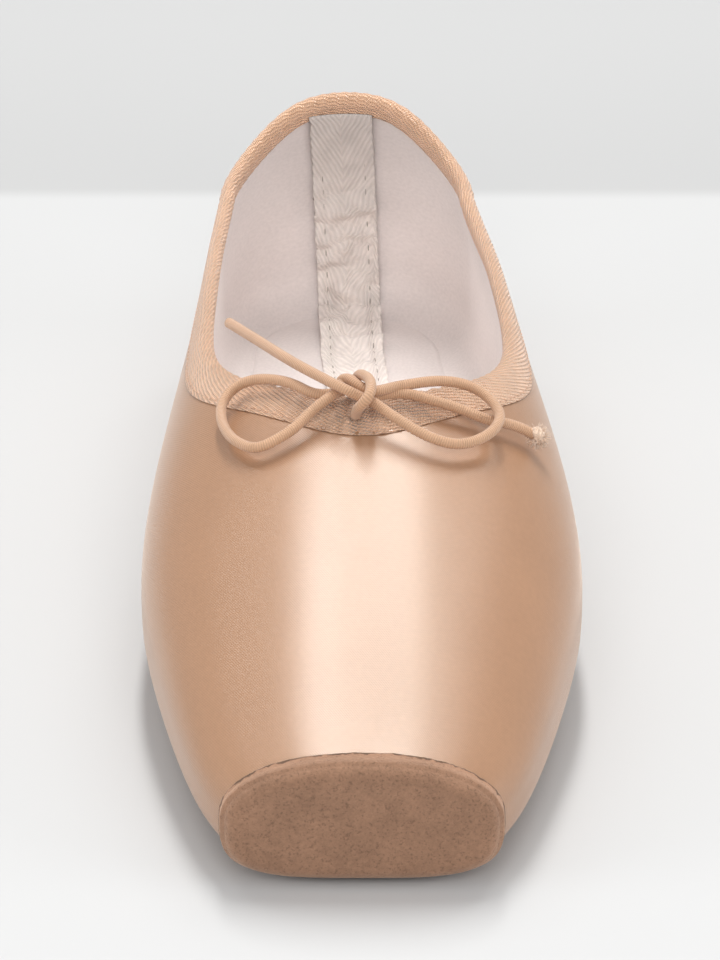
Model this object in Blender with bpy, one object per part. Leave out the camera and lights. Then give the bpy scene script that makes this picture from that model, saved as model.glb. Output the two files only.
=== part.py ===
"""Pointe shoe: satin upper on a stiff box, suede platform patch, leather outsole, insole,
bias binding with its elastic drawstring tied in a bow, and the tape inside the heel.

The toe points along -Y, the heel along +Y, +Z is up, and the shoe stands on its outsole.
"""

import math

import bmesh
import bpy
import numpy as np
from mathutils import Matrix, Vector

# Driving sizes of the shoe, in metres
LENGTH = 0.235  # face of the toe patch to the back of the heel
BALL_WIDTH = 0.082  # across the satin where the box is widest
INSTEP_HEIGHT = 0.0512  # floor to the satin at the throat
HEEL_DEPTH = 0.029  # from the heel's centre to its back
GAP = 0.0003  # between pieces that touch
FOLD_GAP = 0.00045  # between the binding and the wall, whose facets come closer

# Walls and sheet thicknesses
BOX_WALL = 0.0028  # satin, canvas and paste round the toes
QUARTER_WALL = 0.0014  # satin and drill lining behind the box
SOLE_THICKNESS = 0.0022
SOLE_CHAMFER = 0.0004
SOLE_LIP = 0.0007  # how far the sole's edge rises past its middle
INSOLE_THICKNESS = 0.0015
PATCH_THICKNESS = 0.0010
BINDING_THICKNESS = 0.0007
TAPE_THICKNESS = 0.0007

# Shape of the box and the sole
TOE_ROUND = 0.0012  # radius round the platform's edge
TOE_SPRING = 0.0003
TOE_SPRING_END = 0.17  # share of the last's length
ARCH_RISE = 0.0050
ARCH_START = 0.40
ARCH_END = 0.80
UPPER_POWER = 2.2  # roundness of a section above its widest height
LOWER_POWER = 3.6  # and below it

# Overlays
PATCH_SIDE_WRAP = 0.0022
PATCH_EDGE_WRAP = 0.0024  # further wrap at the top and bottom of the platform
BINDING_OUTER = 0.0062
BINDING_INNER = 0.0024
BINDING_ROLL = 0.0029  # height of the rolled edge that holds the drawstring
BINDING_SWELL = 0.0007  # how far the roll stands out at each side
TAPE_WIDTH = 0.0128
TAPE_ON_INSOLE = 0.052  # length of heel tape lying forward on the insole
LASTING_MARGIN = 0.0065  # satin held under the outsole's edge
INSOLE_FRONT = 0.021  # behind the platform

# Cord of the drawstring and the knot of its bow
CORD = 0.0022
KNOT_WIDTH = 0.0072
KNOT_LENGTH = 0.0066
KNOT_HEIGHT = 0.0044
END_KNOT = 0.0042  # knot at the tip of one end
CORD_STEP = 2.2  # diameters between two points of a cord

# Sections of the last. The station is a share of its length from the platform to the heel's
# centre, the half width a share of half the ball width, the heights shares of the instep
# height, and the sway, which leads the soft heel aside, a share of the ball width.
SECTIONS = (
    # station, half_width, widest_height, top_height, sway
    (0.000, 0.560, 0.250, 0.447, 0.000),
    (0.030, 0.645, 0.260, 0.480, 0.000),
    (0.095, 0.765, 0.285, 0.570, 0.000),
    (0.200, 0.888, 0.330, 0.720, 0.000),
    (0.340, 0.991, 0.375, 0.890, 0.000),
    (0.450, 0.988, 0.400, 1.000, -0.002),
    (0.625, 0.895, 0.430, 1.130, -0.009),
    (0.820, 0.768, 0.420, 1.270, -0.021),
    (1.000, 0.655, 0.390, 1.370, -0.037),
)

# The topline, from the throat along one side to the middle of the heel's back: the place along
# it, the travel as a share of the way from the platform round to the heel's back, and the turn
# from the top of the section as a share of a quarter turn.
TOPLINE = (
    # place, travel, turn
    (0.00, 0.371, 0.000),
    (0.05, 0.380, 0.090),
    (0.12, 0.409, 0.248),
    (0.20, 0.441, 0.390),
    (0.33, 0.519, 0.570),
    (0.48, 0.649, 0.667),
    (0.60, 0.765, 0.737),
    (0.72, 0.876, 0.757),
    (0.79, 0.918, 0.707),
    (0.85, 0.942, 0.640),
    (0.90, 0.961, 0.588),
    (0.95, 0.981, 0.565),
    (1.00, 1.000, 0.560),
)

# Outline of the leather sole: the station along its own length and the half width as a share
# of the ball width.
SOLE_OUTLINE = (
    # station, half_width
    (0.00, 0.215),
    (0.25, 0.272),
    (0.42, 0.235),
    (0.62, 0.150),
    (0.80, 0.172),
    (1.00, 0.190),
)
SOLE_FRONT = 0.026  # behind the platform
SOLE_BACK = 0.012  # ahead of the heel's back
SOLE_END_POWER = 3.6  # bluntness of its two round ends

# Routes of the bow: across is a share of half the ball width, the station a share of the last's
# length, and the lift the height of the cord's middle over the satin, in cord diameters.
BOW = {
    "loop_left": (
        # across, station, lift
        (-0.02, 0.440, 1.9),
        (-0.16, 0.447, 1.8),
        (-0.32, 0.463, 1.6),
        (-0.48, 0.478, 1.5),
        (-0.60, 0.470, 1.35),
        (-0.65, 0.442, 1.2),
        (-0.60, 0.408, 1.2),
        (-0.47, 0.388, 1.2),
        (-0.32, 0.393, 1.3),
        (-0.20, 0.415, 1.5),
        (-0.02, 0.425, 1.9),
    ),
    "loop_right": (
        (-0.02, 0.440, 1.9),
        (0.18, 0.451, 1.8),
        (0.35, 0.464, 1.8),
        (0.51, 0.465, 2.0),
        (0.62, 0.447, 2.3),
        (0.63, 0.420, 2.3),
        (0.52, 0.395, 1.4),
        (0.34, 0.386, 1.3),
        (0.19, 0.402, 1.4),
        (-0.02, 0.425, 1.9),
    ),
    "end_left": (
        (-0.02, 0.432, 2.5),
        (-0.14, 0.440, 3.3),
        (-0.29, 0.474, 3.2),
        (-0.45, 0.525, 2.3),
        (-0.62, 0.595, 1.6),
    ),
    "end_right": (
        (-0.02, 0.432, 1.9),
        (0.13, 0.430, 1.6),
        (0.28, 0.433, 1.5),
        (0.42, 0.428, 1.3),
        (0.54, 0.430, 1.15),
        (0.66, 0.440, 1.15),
        (0.78, 0.449, 1.2),
    ),
}
KNOT_PLACE = (-0.02, 0.430, 1.9)

# Meshing
RING_POINTS = 40
INSOLE_RING_POINTS = 28
STATIONS = 24
HEEL_STEPS = 9
TOE_STEPS = 4
TOPLINE_POINTS = 32  # along one side
TINY = 1e-6
CLEAR = 0.003  # how far a cutter passes a wall

# Places that follow from the sizes
PATCH_PROUD = GAP + PATCH_THICKNESS
FRONT = -LENGTH / 2 + PATCH_PROUD  # the satin's face
BACK = LENGTH / 2
HEEL_CENTRE = BACK - HEEL_DEPTH
SPAN = HEEL_CENTRE - FRONT
BOTTOM = SOLE_THICKNESS + GAP


def spline(rows, column):
    """Natural cubic through one column of a table, as a function of its first column."""
    x = np.array([row[0] for row in rows])
    y = np.array([row[column] for row in rows])
    step = np.diff(x)
    matrix = np.eye(len(x))
    right = np.zeros(len(x))
    for i in range(1, len(x) - 1):
        matrix[i, i - 1 : i + 2] = step[i - 1], 2 * (step[i - 1] + step[i]), step[i]
        right[i] = 6 * ((y[i + 1] - y[i]) / step[i] - (y[i] - y[i - 1]) / step[i - 1])
    bend = np.linalg.solve(matrix, right)

    def value(at):
        i = int(np.clip(np.searchsorted(x, at) - 1, 0, len(step) - 1))
        a, b = x[i + 1] - at, at - x[i]
        curve = (bend[i] * a**3 + bend[i + 1] * b**3) / (6 * step[i])
        left = (y[i] / step[i] - bend[i] * step[i] / 6) * a
        return float(curve + left + (y[i + 1] / step[i] - bend[i + 1] * step[i] / 6) * b)

    return value


width_share = spline(SECTIONS, 1)
widest_share = spline(SECTIONS, 2)
top_share = spline(SECTIONS, 3)
sway_share = spline(SECTIONS, 4)
around = [(-p, t, -u) for p, t, u in TOPLINE[:0:-1]] + list(TOPLINE)
around += [(2 - p, 2 - t, u) for p, t, u in TOPLINE[-2::-1]]
travel_share = spline(around, 1)
turn_share = spline(around, 2)
sole_share = spline(SOLE_OUTLINE, 1)


def smooth(share):
    """0 to 1 with level ends."""
    share = min(max(share, 0.0), 1.0)
    return share * share * (3 - 2 * share)


def floor_rise(y):
    """How far the shoe's underside stands above its flat spots: the toe spring and the arch."""
    place = (y - FRONT) / (BACK - FRONT)
    if place < TOE_SPRING_END:
        return TOE_SPRING * (1 - max(place, 0.0) / TOE_SPRING_END) ** 2
    if ARCH_START < place < ARCH_END:
        return ARCH_RISE * math.sin(math.pi * (place - ARCH_START) / (ARCH_END - ARCH_START)) ** 2
    return 0.0


def wall_at(station):
    """Thickness of the upper: the box's paste thins out before the throat."""
    return BOX_WALL + (QUARTER_WALL - BOX_WALL) * smooth((station - 0.18) / 0.2)


def section(station, y, grow):
    """Half width, heights and sway of the satin's surface, grown by a distance."""
    station = min(max(station, 0.0), 1.0)
    return {
        "half": width_share(station) * BALL_WIDTH / 2 + grow,
        "widest": widest_share(station) * INSTEP_HEIGHT,
        "top": top_share(station) * INSTEP_HEIGHT + grow,
        "bottom": BOTTOM + floor_rise(y) - grow,
        "sway": sway_share(station) * BALL_WIDTH,
    }


def surface_value(point, grow):
    """Negative inside the grown last, zero on its surface and positive outside."""
    x, y, z = point
    station = (y - FRONT) / SPAN
    size = section(station, y, grow)
    across = (x - size["sway"]) / size["half"]
    along = max(y - HEEL_CENTRE, 0.0) / (HEEL_DEPTH + grow)
    if z > size["widest"]:
        power, rise = UPPER_POWER, (z - size["widest"]) / (size["top"] - size["widest"])
    else:
        power, rise = LOWER_POWER, (size["widest"] - z) / (size["widest"] - size["bottom"])
    return math.hypot(across, along) ** power + rise**power - 1


def slope_at(point, grow):
    """Gradient of surface_value, by small steps."""
    step = 1e-5
    slope = Vector()
    for axis in range(3):
        ahead, behind = Vector(point), Vector(point)
        ahead[axis] += step
        behind[axis] -= step
        slope[axis] = (surface_value(ahead, grow) - surface_value(behind, grow)) / (2 * step)
    return slope


def settle(point, grow):
    """The point moved straight onto the grown last."""
    point = Vector(point)
    for _ in range(8):
        slope = slope_at(point, grow)
        point -= slope * (surface_value(point, grow) / slope.length_squared)
    return point


def ring_point(turn, station, swing, grow, inset=0.0):
    """A point of a section: turn goes round it from the top, swing round the heel."""
    y = FRONT + station * SPAN
    size = section(station, y, grow - inset)
    above = math.cos(turn) > 0
    power = UPPER_POWER if above else LOWER_POWER
    across = abs(math.sin(turn)) ** (2 / power)
    rise = abs(math.cos(turn)) ** (2 / power)
    side = 1 if math.sin(turn) >= 0 else -1
    height = size["top"] - size["widest"] if above else size["bottom"] - size["widest"]
    return Vector(
        (
            size["sway"] + side * size["half"] * across * math.cos(swing),
            y + (HEEL_DEPTH + grow) * across * math.sin(swing),
            size["widest"] + height * rise,
        )
    )


def form_rings(grow, points, last_station=1.0):
    """Rings of the whole last, from the platform's flat face to the heel. Grow is a function."""
    turns = [2 * math.pi * i / points for i in range(points)]
    rings = []
    radius = max(TOE_ROUND + grow(0.0), TINY)
    face = FRONT - grow(0.0)
    for i in range(TOE_STEPS):
        lean = math.pi / 2 * i / TOE_STEPS
        station = (face + radius * (1 - math.cos(lean)) - FRONT) / SPAN
        inset = radius * (1 - math.sin(lean))
        ring = [ring_point(t, max(station, 0.0), 0.0, grow(0.0), inset) for t in turns]
        for point in ring:
            point.y = FRONT + station * SPAN
        rings.append(ring)
    first = (face + radius - FRONT) / SPAN
    for i in range(STATIONS + 1):
        share = i / STATIONS
        station = first + (1 - first) * share
        if station <= last_station + TINY:
            rings.append([ring_point(t, station, 0.0, grow(station)) for t in turns])
    if last_station == 1.0:
        for i in range(1, HEEL_STEPS + 1):
            swing = math.pi / 2 * i / HEEL_STEPS
            rings.append([ring_point(t, 1.0, swing, grow(1.0)) for t in turns])
    return rings


def new_object(name, mesh, material=None):
    """Links a mesh as a part, or as a cutter where it has no material."""
    obj = bpy.data.objects.new(name, mesh)
    (parts if material else cutters).objects.link(obj)
    if material:
        mesh.materials.append(material)
    else:
        obj.hide_render = True
        obj.display_type = "WIRE"
    return obj


def loft(name, rings, material=None, closed_along=False):
    """A closed skin through rings of equal length, with flat ends unless it closes on itself."""
    bm = bmesh.new()
    rows = [[bm.verts.new(p) for p in ring] for ring in rings]
    pairs = list(zip(rows, rows[1:]))
    if closed_along:
        pairs.append((rows[-1], rows[0]))
    for near, far in pairs:
        for i in range(len(near)):
            j = (i + 1) % len(near)
            bm.faces.new((near[i], near[j], far[j], far[i]))
    if not closed_along:
        bm.faces.new(rows[0][::-1])
        bm.faces.new(rows[-1])
    bmesh.ops.remove_doubles(bm, verts=bm.verts, dist=TINY)
    bmesh.ops.dissolve_degenerate(bm, edges=bm.edges, dist=TINY)
    loose = [f for f in bm.faces if f.calc_area() < TINY**2]
    bmesh.ops.delete(bm, geom=loose, context="FACES_ONLY")
    bmesh.ops.recalc_face_normals(bm, faces=bm.faces)
    mesh = bpy.data.meshes.new(name)
    bm.to_mesh(mesh)
    bm.free()
    if material:
        mesh.shade_smooth()
        mesh.set_sharp_from_angle(angle=math.radians(40))
    return new_object(name, mesh, material)


def boolean(obj, cutter, operation="DIFFERENCE"):
    modifier = obj.modifiers.new(cutter.name, "BOOLEAN")
    modifier.operation = operation
    modifier.object = cutter
    modifier.solver = "EXACT"


def material(name, colour, roughness):
    made = bpy.data.materials.new(name)
    made.use_nodes = True
    shader = made.node_tree.nodes["Principled BSDF"]
    shader.inputs["Base Color"].default_value = (*colour, 1.0)
    shader.inputs["Roughness"].default_value = roughness
    return made


def topline_point(place):
    """A point of the topline: places run from -1 at the heel's back through 0 at the throat."""
    travel = travel_share(abs(place)) * (SPAN + HEEL_DEPTH)
    swing = math.pi / 2 * max(travel - SPAN, 0.0) / HEEL_DEPTH
    turn = math.copysign(turn_share(abs(place)) * math.pi / 2, place)
    return ring_point(turn, min(travel / SPAN, 1.0), swing, 0.0)


def topline_frames():
    """For each topline point: the point, the outward normal and the way down the wall."""
    count = 2 * TOPLINE_POINTS
    loop = [topline_point((i - TOPLINE_POINTS) / TOPLINE_POINTS) for i in range(count)]
    frames = []
    for i, point in enumerate(loop):
        along = (loop[(i + 1) % count] - loop[i - 1]).normalized()
        outward = slope_at(point, 0.0).normalized()
        frames.append((point, outward, along.cross(outward).normalized()))
    return frames


def station_of(point):
    return min(max((point.y - FRONT) / SPAN, 0.0), 1.0)


def collar_cutter():
    """The plug that opens the collar, square to the wall all round."""
    inner, outer, high, low = [], [], [], []
    ceiling = INSTEP_HEIGHT * 1.9
    for point, outward, _ in topline_frames():
        inner.append(point - outward * (wall_at(station_of(point)) + CLEAR))
        outer.append(point + outward * CLEAR)
        high.append(Vector((outer[-1].x, outer[-1].y, ceiling)))
    centre = sum(inner, Vector()) / len(inner)
    for point in inner:
        low.append(centre + (point - centre) * 0.5)
    return loft("collar_cutter", [low, inner, outer, high])


def sole_outline(margin=0.0, steps=26):
    """Stations of the sole: y, half width less a margin, and sway."""
    start = FRONT + SOLE_FRONT + margin
    end = BACK - SOLE_BACK - margin
    rows = []
    for i in range(1, steps):
        reach = -math.cos(math.pi * i / steps)
        y = (start + end) / 2 + reach * (end - start) / 2
        blunt = (1 - abs(reach) ** SOLE_END_POWER) ** (1 / SOLE_END_POWER)
        half = (sole_share((1 + reach) / 2) * BALL_WIDTH - margin) * blunt
        rows.append((y, half, sway_share(station_of(Vector((0, y, 0)))) * BALL_WIDTH))
    return rows


def make_upper(satin):
    upper = loft("upper", form_rings(lambda s: 0.0, RING_POINTS), satin)
    inside = loft("foot_space", form_rings(lambda s: -wall_at(s), RING_POINTS))
    boolean(upper, inside)
    boolean(upper, collar_cutter())
    rings = []
    for y, half, sway in sole_outline(LASTING_MARGIN):
        top = BOTTOM + floor_rise(y) + wall_at(station_of(Vector((0, y, 0)))) + CLEAR
        corners = ((-half, 0.0), (half, 0.0), (half, top), (-half, top))
        rings.append([Vector((sway + x, y, z)) for x, z in corners])
    boolean(upper, loft("bottom_cutter", rings))
    return upper


def make_outsole(leather):
    rings = []
    for y, half, sway in sole_outline():
        low = floor_rise(y)
        top = low + SOLE_THICKNESS + SOLE_LIP + GAP
        cut = min(SOLE_CHAMFER, half / 2)
        corners = (
            (-half, top),
            (-half, low + cut),
            (-half + cut, low),
            (half - cut, low),
            (half, low + cut),
            (half, top),
        )
        rings.append([Vector((sway + x, y, z)) for x, z in corners])
    outsole = loft("outsole", rings, leather)
    boolean(outsole, loft("sole_seat", form_rings(lambda s: GAP, RING_POINTS)))
    return outsole


def insole_top(y):
    wall = wall_at(station_of(Vector((0, y, 0))))
    return BOTTOM + floor_rise(y) + wall + GAP + INSOLE_THICKNESS


def make_insole(lining):
    def clear_of_wall(station):
        return -wall_at(station) - GAP

    insole = loft("insole", form_rings(clear_of_wall, INSOLE_RING_POINTS), lining)
    start, end, half = FRONT + INSOLE_FRONT, BACK + CLEAR, BALL_WIDTH
    rings = []
    for i in range(STATIONS + 1):
        y = start + (end - start) * i / STATIONS
        low = insole_top(y)
        corners = ((-half, low), (half, low), (half, INSTEP_HEIGHT * 2), (-half, INSTEP_HEIGHT * 2))
        rings.append([Vector((x, y, z)) for x, z in corners])
    boolean(insole, loft("above_insole", rings))
    front = []
    for y in (FRONT - CLEAR, start + GAP):
        corners = ((-half, -CLEAR), (half, -CLEAR), (half, INSTEP_HEIGHT * 2), (-half, INSTEP_HEIGHT * 2))
        front.append([Vector((x, y, z)) for x, z in corners])
    boolean(insole, loft("ahead_of_insole", front))
    return insole


def make_patch(suede):
    """The suede on the platform, wrapped a little over its edge, most at the top and bottom."""
    reach = 0.12
    patch = loft("toe_patch", form_rings(lambda s: PATCH_PROUD, RING_POINTS, reach), suede)
    boolean(patch, loft("box_tip", form_rings(lambda s: GAP, RING_POINTS, reach + 0.05)))
    size = section(0.0, FRONT, 0.0)
    middle, high = size["widest"], size["top"] - size["widest"]
    edge = []
    for i in range(13):
        lift = -1.6 + 3.4 * i / 12
        y = FRONT + PATCH_SIDE_WRAP + PATCH_EDGE_WRAP * min(lift * lift, 1.4)
        edge.append((y, middle + lift * high))
    behind = FRONT + SPAN / 3
    outline = edge + [(behind, edge[-1][1]), (behind, edge[0][1])]
    rings = [[Vector((x, y, z)) for y, z in outline] for x in (-BALL_WIDTH / 2, BALL_WIDTH / 2)]
    boolean(patch, loft("behind_patch", rings))
    return patch


def make_binding(tape):
    """Bias tape folded over the topline, rolled at the edge round the drawstring."""
    rings = []
    for point, outward, down in topline_frames():
        wall = wall_at(station_of(point))
        ring = []
        for depth in (BINDING_OUTER, BINDING_OUTER / 2, 0.0):
            ring.append(settle(point + down * depth, FOLD_GAP))
        ring.append(point + outward * FOLD_GAP - down * FOLD_GAP)
        ring.append(point - outward * (wall + FOLD_GAP) - down * FOLD_GAP)
        for depth in (0.0, BINDING_INNER / 2, BINDING_INNER):
            ring.append(settle(point + down * depth, -wall - FOLD_GAP))
        sheet = FOLD_GAP + BINDING_THICKNESS
        for depth in (BINDING_INNER, BINDING_INNER / 2):
            ring.append(settle(point + down * depth, -wall - sheet))
        middle = point - outward * wall / 2
        width = wall / 2 + sheet + BINDING_SWELL
        for i in range(5):
            turn = math.pi * i / 4
            ring.append(middle - outward * width * math.cos(turn) - down * BINDING_ROLL * math.sin(turn))
        for depth in (BINDING_OUTER / 2, BINDING_OUTER):
            ring.append(settle(point + down * depth, sheet))
        rings.append(ring)
    return loft("binding", rings, tape, closed_along=True)


def make_tape(white):
    """Woven tape over the heel's back seam, from the binding down and onto the insole."""
    wall = QUARTER_WALL + GAP
    start = topline_point(1.0).z - BINDING_INNER - CLEAR / 2
    sheet = HEEL_DEPTH - wall
    size = section(1.0, BACK, -wall)
    flat = insole_top(BACK) + GAP
    offsets = [TAPE_WIDTH / 2 * share for share in (-1, -0.5, 0, 0.5, 1)]

    def wall_point(x, height, inset):
        above = height > size["widest"]
        power = UPPER_POWER if above else LOWER_POWER
        tall = size["top"] - size["widest"] if above else size["widest"] - size["bottom"]
        rise = abs(height - size["widest"]) / (tall - inset)
        across = (1 - rise**power) ** (1 / power)
        half, depth = size["half"] - inset, sheet - inset
        deep = math.sqrt(max(across**2 - (x / half) ** 2, 0.0)) * depth
        return Vector((size["sway"] + x, HEEL_CENTRE + deep, height))

    steps = 12
    corner = flat + 0.0022
    heights = [start + (corner - start) * i / steps for i in range(steps + 1)]
    outer = [[wall_point(x, h, -GAP) for x in offsets] for h in heights]
    inner = [[wall_point(x, h, TAPE_THICKNESS) for x in offsets] for h in heights]
    foot = inner[-1][2].y
    for i in range(1, 9):
        y = foot - 0.0035 - (TAPE_ON_INSOLE - 0.0035) * (i - 1) / 7
        low = insole_top(y) + GAP
        sway = sway_share(station_of(Vector((0, y, 0)))) * BALL_WIDTH
        outer.append([Vector((sway + x, y, low)) for x in offsets])
        inner.append([Vector((sway + x, y, low + TAPE_THICKNESS)) for x in offsets])
    rings = [near + far[::-1] for near, far in zip(outer, inner)]
    strip = loft("heel_tape", rings, white)
    room = form_rings(lambda s: -wall_at(s) - GAP, RING_POINTS)
    boolean(strip, loft("inside_lining", room), "INTERSECT")
    return strip


def above_satin(across, station, lift):
    """The point that far across and along the shoe, lifted off the satin."""
    y = FRONT + station * SPAN
    size = section(station, y, lift * CORD)
    x = across * BALL_WIDTH / 2
    share = min(abs(x - size["sway"]) / size["half"], 1.0)
    rise = (1 - share**UPPER_POWER) ** (1 / UPPER_POWER)
    return Vector((x, y, size["widest"] + (size["top"] - size["widest"]) * rise))


def cord_line(route, step):
    """Points an even step apart on the smooth curve through a route's points."""
    stops = [above_satin(*row) for row in route]
    travel = [0.0]
    for near, far in zip(stops, stops[1:]):
        travel.append(travel[-1] + (far - near).length)
    axes = [spline([(t, p[axis]) for t, p in zip(travel, stops)], 1) for axis in range(3)]
    count = max(round(travel[-1] / step), 2)
    places = [travel[-1] * i / count for i in range(count + 1)]
    return [Vector([axis(place) for axis in axes]) for place in places]


def solid_tube(name, line, radius, elastic):
    """A round cord along a line, with closed ends, as a mesh."""
    curve = bpy.data.curves.new(name, "CURVE")
    curve.dimensions = "3D"
    curve.bevel_depth = radius
    curve.bevel_resolution = 2
    curve.use_fill_caps = True
    run = curve.splines.new("POLY")
    run.points.add(len(line) - 1)
    for point, place in zip(run.points, line):
        point.co = (*place, 1.0)
    drawn = bpy.data.objects.new(name + "_curve", curve)
    parts.objects.link(drawn)
    graph = bpy.context.evaluated_depsgraph_get()
    mesh = bpy.data.meshes.new_from_object(drawn.evaluated_get(graph))
    bpy.data.objects.remove(drawn)
    bm = bmesh.new()
    bm.from_mesh(mesh)
    bmesh.ops.remove_doubles(bm, verts=bm.verts, dist=TINY)
    bmesh.ops.recalc_face_normals(bm, faces=bm.faces)
    bm.to_mesh(mesh)
    bm.free()
    mesh.materials.clear()
    return new_object(name, mesh, elastic)


def ellipsoid(name, centre, size, elastic=None):
    bm = bmesh.new()
    shape = Matrix.LocRotScale(centre, None, size)
    bmesh.ops.create_uvsphere(bm, u_segments=16, v_segments=10, radius=0.5, matrix=shape)
    mesh = bpy.data.meshes.new(name)
    bm.to_mesh(mesh)
    bm.free()
    mesh.shade_smooth()
    return new_object(name, mesh, elastic)


def make_bow(elastic):
    """The knot, its two loops and its two ends, one of them knotted at the tip."""
    centre = above_satin(*KNOT_PLACE)
    size = Vector((KNOT_WIDTH, KNOT_LENGTH, KNOT_HEIGHT))
    ellipsoid("knot", centre, size, elastic)
    room = Vector((2 * GAP, 2 * GAP, 2 * GAP))
    knot_room = ellipsoid("knot_room", centre, size + room)
    for name, route in BOW.items():
        cord = solid_tube(name, cord_line(route, CORD_STEP * CORD), CORD / 2, elastic)
        boolean(cord, knot_room)
    tip, before = above_satin(*BOW["end_right"][-1]), above_satin(*BOW["end_right"][-2])
    onward = (tip - before).normalized() * (END_KNOT / 2 + GAP)
    ellipsoid("end_knot", tip + onward, Vector((END_KNOT, END_KNOT, END_KNOT)), elastic)


def main():
    satin = material("satin", (0.78, 0.56, 0.42), 0.35)
    suede = material("suede", (0.32, 0.18, 0.11), 0.95)
    leather = material("leather", (0.55, 0.38, 0.26), 0.6)
    lining = material("lining", (0.66, 0.56, 0.52), 0.9)
    tape = material("binding", (0.74, 0.52, 0.38), 0.5)
    white = material("tape", (0.72, 0.68, 0.64), 0.9)
    elastic = material("elastic", (0.56, 0.33, 0.22), 0.8)
    make_upper(satin)
    make_outsole(leather)
    make_insole(lining)
    make_patch(suede)
    make_binding(tape)
    make_tape(white)
    make_bow(elastic)


for old in list(bpy.data.objects):
    bpy.data.objects.remove(old)
parts = bpy.data.collections.new("pointe_shoe")
cutters = bpy.data.collections.new("cutters")
bpy.context.scene.collection.children.link(parts)
bpy.context.scene.collection.children.link(cutters)
main()
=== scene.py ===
"""Pointe shoe on a pale studio floor, seen from in front of its platform.

The toe points along -Y and the heel along +Y. Sizes are metres, as in the model it dresses.
"""

import bisect
import math

import bmesh
import bpy
import numpy as np
from mathutils import Matrix, Vector, noise


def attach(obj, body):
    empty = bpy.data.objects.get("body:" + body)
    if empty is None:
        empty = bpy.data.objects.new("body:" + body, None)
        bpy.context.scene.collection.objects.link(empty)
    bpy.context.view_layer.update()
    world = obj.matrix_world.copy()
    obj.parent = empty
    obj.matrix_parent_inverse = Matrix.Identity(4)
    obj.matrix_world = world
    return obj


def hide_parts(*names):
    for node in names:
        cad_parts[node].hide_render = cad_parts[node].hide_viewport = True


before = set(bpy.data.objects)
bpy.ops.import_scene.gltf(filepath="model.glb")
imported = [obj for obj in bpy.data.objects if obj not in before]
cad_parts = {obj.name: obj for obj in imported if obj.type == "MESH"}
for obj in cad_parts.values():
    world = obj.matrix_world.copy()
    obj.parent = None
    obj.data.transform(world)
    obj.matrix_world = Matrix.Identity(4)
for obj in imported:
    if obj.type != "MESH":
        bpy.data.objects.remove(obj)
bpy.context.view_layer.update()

# Camera: a long lens 1.2 m away, level across and 26 degrees above the floor, in front of the
# platform. The picture is 720 wide and 960 high, so the long side sets the lens.
VIEW_ELEVATION = math.radians(26.4)
VIEW_DISTANCE = 1.1895
VIEW_TARGET = Vector((0.0, 0.0, 0.025))
PICTURE_HEIGHT = 960
FOCAL_PIXELS = 6231.8

back = Vector((0.0, -math.cos(VIEW_ELEVATION), math.sin(VIEW_ELEVATION)))
camera = bpy.data.objects.new("camera", bpy.data.cameras.new("camera"))
camera.data.sensor_width = 36.0
camera.data.lens = 36.0 * FOCAL_PIXELS / PICTURE_HEIGHT
camera.data.shift_x = -2.0 / PICTURE_HEIGHT
camera.data.shift_y = -14.0 / PICTURE_HEIGHT
camera.data.clip_start = 0.05
camera.data.clip_end = 20.0
camera.location = VIEW_TARGET + back * VIEW_DISTANCE
camera.rotation_euler = (-back).to_track_quat("-Z", "Y").to_euler()
bpy.context.scene.collection.objects.link(camera)
bpy.context.scene.camera = camera

# Floor: one flat matt white sheet, whose colour carries the painted shade of a sweep behind the heel.
FLOOR_SIZE = 8.0
FLOOR_COLOUR = (0.60, 0.608, 0.616)
SWEEP_LINE = 0.184


def shader_of(name, colour, roughness, others=None):
    """A new material, its node tree and its shader, with constants on the shader's inputs."""
    made = bpy.data.materials.new(name)
    made.use_nodes = True
    shader = made.node_tree.nodes["Principled BSDF"]
    constants = {"Base Color": (*colour, 1.0), "Roughness": roughness, **(others or {})}
    for key, value in constants.items():
        shader.inputs[key].default_value = value
    return made, made.node_tree, shader


def add(tree, kind, links=None, **settings):
    """A node with its settings, and its inputs set or linked by name or number."""
    made = tree.nodes.new(kind)
    for key, value in settings.items():
        setattr(made, key, value)
    for key, value in (links or {}).items():
        if isinstance(value, bpy.types.NodeSocket):
            tree.links.new(value, made.inputs[key])
        else:
            made.inputs[key].default_value = value
    return made


def own_place(tree):
    """Where a point lies on its piece, in metres: the vector and its three parts."""
    place = add(tree, "ShaderNodeTexCoord").outputs["Object"]
    return place, add(tree, "ShaderNodeSeparateXYZ", {0: place}).outputs


def number(tree, operation, *values):
    """The result of a Math node on sockets and plain numbers."""
    return add(tree, "ShaderNodeMath", dict(enumerate(values)), operation=operation).outputs[0]


def eased(tree, value, low, high, start, end):
    """The value's stretch from low to high laid on start to end with soft ends, level beyond it."""
    links = {0: value, 1: low, 2: high, 3: start, 4: end}
    return add(tree, "ShaderNodeMapRange", links, interpolation_type="SMOOTHSTEP").outputs[0]


def colour_by(tree, shader, colour, *factors):
    """The colour times every factor, on the shader."""
    product = factors[0]
    for factor in factors[1:]:
        product = number(tree, "MULTIPLY", product, factor)
    scaled = add(tree, "ShaderNodeVectorMath", {0: colour, "Scale": product}, operation="SCALE")
    tree.links.new(scaled.outputs[0], shader.inputs["Base Color"])


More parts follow.
